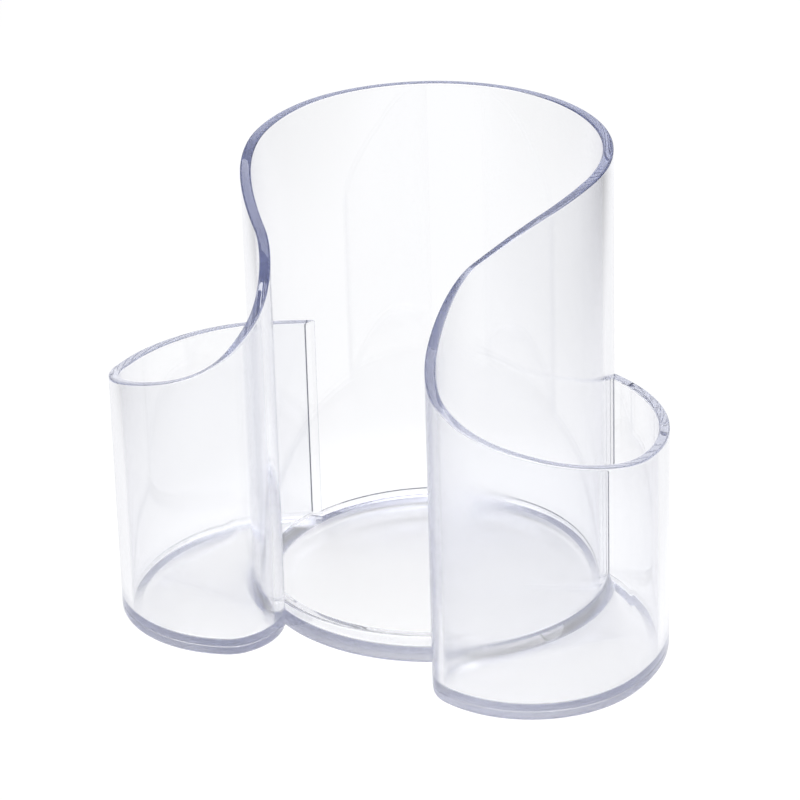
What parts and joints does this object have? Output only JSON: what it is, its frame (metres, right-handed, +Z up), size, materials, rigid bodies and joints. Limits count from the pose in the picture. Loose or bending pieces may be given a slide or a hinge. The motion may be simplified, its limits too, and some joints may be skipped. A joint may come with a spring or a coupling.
{
  "type": "pen holder cup",
  "caption": "Clear plastic desk cup for pens: a tall round compartment, open at the front, whose wall folds out into a lower pocket on each side.",
  "frame": {"origin": "on the flat underside, on the axis of the tall round compartment", "axes": "+Z up out of the compartments; the front opening faces -Y; +X to the right as seen from the front"},
  "size_m": [0.1208, 0.0896, 0.1],
  "materials": {
    "clear_plastic": "clear, polished, with a faint blue-violet tint at the edges"
  },
  "bodies": {
    "root": {"base_plate": "clear_plastic", "back_shell": "clear_plastic", "left_pocket_shell": "clear_plastic", "right_pocket_shell": "clear_plastic", "front_sill": "clear_plastic"}
  },
  "joints": []
}
